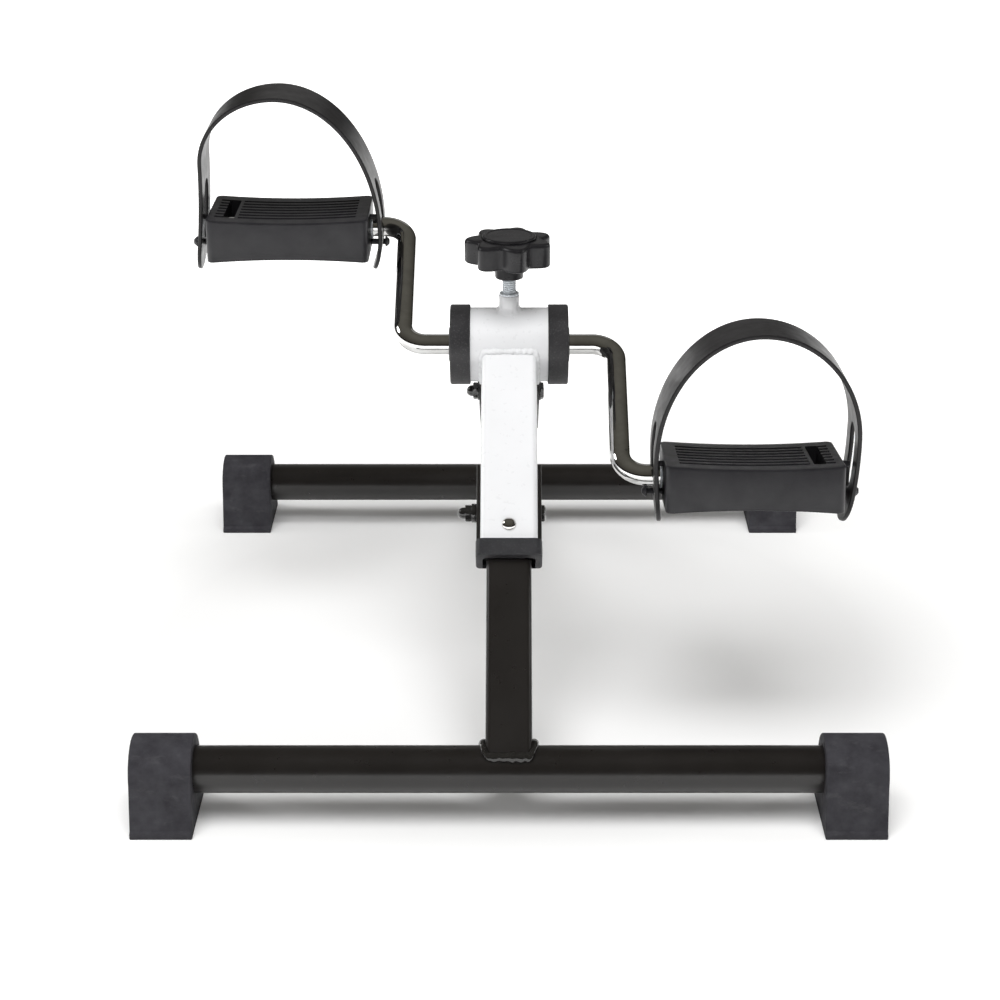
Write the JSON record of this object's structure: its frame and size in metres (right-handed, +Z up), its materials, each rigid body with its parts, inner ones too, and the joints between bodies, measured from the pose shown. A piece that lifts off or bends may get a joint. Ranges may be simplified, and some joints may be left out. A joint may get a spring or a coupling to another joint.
{
  "type": "pedal exerciser",
  "caption": "Folding floor-standing pedal exerciser: one-piece crank with strapped pedals, a white hub on splayed black legs with rubber feet, and a star knob that sets the resistance.",
  "frame": {"origin": "on the floor, under the middle of the base", "axes": "+X to the right along the crossbars, -Y towards the side that the white stem slopes to, +Z up"},
  "size_m": [0.4, 0.46, 0.33],
  "materials": {
    "white_enamel": "gloss powder coat",
    "black_enamel": "semi-gloss powder coat",
    "weld_black": "gloss over a rough bead",
    "foot_rubber": "matte moulded rubber",
    "cap_plastic": "fine moulded texture",
    "collar_plastic": "fine moulded texture",
    "bushing_nylon": "black nylon",
    "black_hardware": "glossy black zinc",
    "spring_steel": "satin",
    "button_steel": "polished",
    "chrome_rod": "polished",
    "pedal_plastic": "satin moulded",
    "strap_plastic": "satin flexible band",
    "brake_pad": "pressed friction material",
    "zinc": "bright zinc",
    "knob_plastic": "satin moulded"
  },
  "bodies": {
    "frame": {"stem": "white_enamel", "hub_barrel": "white_enamel", "hub_boss": "white_enamel", "pivot_lugs": "white_enamel", "hub_cap_left": "cap_plastic", "hub_cap_right": "cap_plastic", "hub_bushing_left": "bushing_nylon", "hub_bushing_right": "bushing_nylon", "leg_bracket": "black_enamel", "leg_collar": "collar_plastic", "front_leg": "black_enamel", "front_weld": "weld_black", "front_crossbar": "black_enamel", "foot_front_left": "foot_rubber", "foot_front_right": "foot_rubber", "pivot_bolt": "black_hardware", "pivot_acorn_nut": "black_hardware", "pivot_washers": "black_hardware", "bracket_bolt": "black_hardware", "bracket_acorn_nut": "black_hardware", "bracket_spacer": "black_hardware", "snap_spring": "spring_steel", "stud_washer": "zinc"},
    "rear_leg_set": {"rear_leg": "black_enamel", "rear_leg_bracket": "black_enamel", "rear_weld": "weld_black", "rear_crossbar": "black_enamel", "foot_rear_left": "foot_rubber", "foot_rear_right": "foot_rubber"},
    "crank_set": {"crank": "chrome_rod", "axle_retainers_left": "spring_steel", "axle_retainers_right": "spring_steel"},
    "pedal_left_set": {"pedal_left": "pedal_plastic", "strap_left": "strap_plastic"},
    "pedal_right_set": {"pedal_right": "pedal_plastic", "strap_right": "strap_plastic"},
    "brake_set": {"brake_shoe": "brake_pad"},
    "knob_set": {"tension_stud": "zinc", "knob_body": "knob_plastic", "knob_cap": "knob_plastic"},
    "button_set": {"snap_button": "button_steel"}
  },
  "joints": [
    {"name": "crank_spin", "type": "hinge", "parent": "frame", "child": "crank_set", "pos_m": [0, 0, 0.198], "axis": [1, 0, 0], "continuous": true},
    {"name": "left_pedal_spin", "type": "hinge", "parent": "crank_set", "child": "pedal_left_set", "pos_m": [-0.135, 0.09088, 0.24431], "axis": [1, 0, 0], "continuous": true},
    {"name": "right_pedal_spin", "type": "hinge", "parent": "crank_set", "child": "pedal_right_set", "pos_m": [0.135, -0.09088, 0.15169], "axis": [1, 0, 0], "continuous": true},
    {"name": "brake_shoe_slide", "type": "slide", "parent": "frame", "child": "brake_set", "axis": [0, 0, 1], "range_m": [-0.00036, 0.0038]},
    {"name": "tension_knob_turn", "type": "hinge", "parent": "brake_set", "child": "knob_set", "pos_m": [0, 0, 0.25], "axis": [0, 0, 1], "range_deg": [-100, 1080]},
    {"name": "rear_leg_fold", "type": "hinge", "parent": "frame", "child": "rear_leg_set", "pos_m": [0, 0.00845, 0.16599], "axis": [-1, 0, 0], "range_deg": [0, 95]},
    {"name": "snap_button_press", "type": "slide", "parent": "frame", "child": "button_set", "axis": [0, 0.6402, -0.7682], "range_m": [0, 0.0045], "stiffness_N_per_m": 700, "springref_m": -0.003}
  ],
  "couplings": [
    {"joint": "brake_shoe_slide", "follows": "tension_knob_turn", "m_per_rad": 0.00019894}
  ]
}
